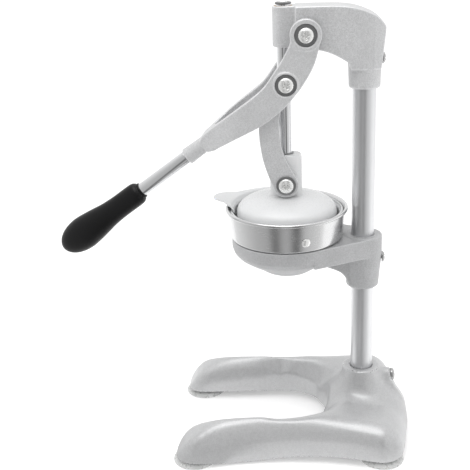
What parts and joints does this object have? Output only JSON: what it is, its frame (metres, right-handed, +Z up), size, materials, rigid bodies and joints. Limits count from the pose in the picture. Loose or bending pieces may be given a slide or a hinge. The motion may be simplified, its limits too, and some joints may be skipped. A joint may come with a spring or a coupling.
{
  "type": "lever citrus juice press",
  "caption": "Tall hand press for citrus halves: a forked lever pushes a cupped plunger on a guide rod into a strainer bowl held on a column with a horseshoe base.",
  "frame": {"origin": "centre of the object's bounding box footprint, on the surface it stands on", "axes": "+Z up along the column and the guide rod, -Y towards the handle (front), X across, symmetric about X = 0 apart from the strainer's tab and the rivets"},
  "size_m": [0.206, 0.3914, 0.4947],
  "materials": {
    "cast_aluminium": "fine sand-cast, silver lacquer",
    "cast_aluminium_base": "satin cast, silver lacquer",
    "column_steel": "satin chromed tube",
    "chromed_steel": "polished",
    "stainless_sheet": "brushed round the bowl",
    "screw_steel": "bright zinc",
    "white_plastic": "white, food safe, slightly glossy",
    "grip_rubber": "black, satin",
    "dark_washer": "dark grey nylon",
    "grey_washer": "grey steel",
    "clear_rubber": "milky translucent",
    "brass": "turned",
    "bronze": "sintered"
  },
  "bodies": {
    "stand": {"base_casting": "cast_aluminium_base", "suction_cups": "clear_rubber", "suction_cup_studs": "screw_steel", "column_tube": "column_steel", "base_set_screw": "screw_steel", "bracket_set_screw": "screw_steel", "head_set_screw": "screw_steel", "bowl_bracket": "cast_aluminium", "juice_bowl": "stainless_sheet", "bowl_rivets": "screw_steel", "strainer_basket": "white_plastic", "reamer_cone": "white_plastic", "head_casting": "cast_aluminium", "head_guide_bush": "bronze", "lever_pivot_pin": "screw_steel", "lever_pivot_washers": "dark_washer", "lever_pivot_screws": "screw_steel"},
    "lever": {"lever_fork": "cast_aluminium", "handle_rod": "chromed_steel", "handle_grip": "grip_rubber", "knee_pivot_washers": "dark_washer", "knee_pivot_screws": "screw_steel"},
    "plunger": {"press_cup": "white_plastic", "guide_rod": "chromed_steel", "rod_seat_ring": "grey_washer", "rod_stop_washer": "dark_washer", "rod_stop_screw": "screw_steel", "hub_screw_inserts": "brass", "hub_pivot_washers": "grey_washer", "hub_pivot_screws": "screw_steel"},
    "links": {"link_right": "cast_aluminium", "link_left": "cast_aluminium"}
  },
  "joints": [
    {"name": "lever_hinge", "type": "hinge", "parent": "stand", "child": "lever", "pos_m": [0, 0.08222, 0.462], "axis": [-1, 0, 0], "range_deg": [0, 70]},
    {"name": "plunger_slide", "type": "slide", "parent": "stand", "child": "plunger", "axis": [0, 0, 1], "range_m": [0, 0.05778]},
    {"name": "link_hinge", "type": "hinge", "parent": "plunger", "child": "links", "pos_m": [0, 0.05972, 0.302], "axis": [1, 0, 0], "range_deg": [0, 17.75]}
  ],
  "couplings": [
    {"joint": "plunger_slide", "follows": "lever_hinge", "m_per_rad": 0.047266},
    {"joint": "link_hinge", "follows": "lever_hinge", "ratio": 0.25322}
  ]
}
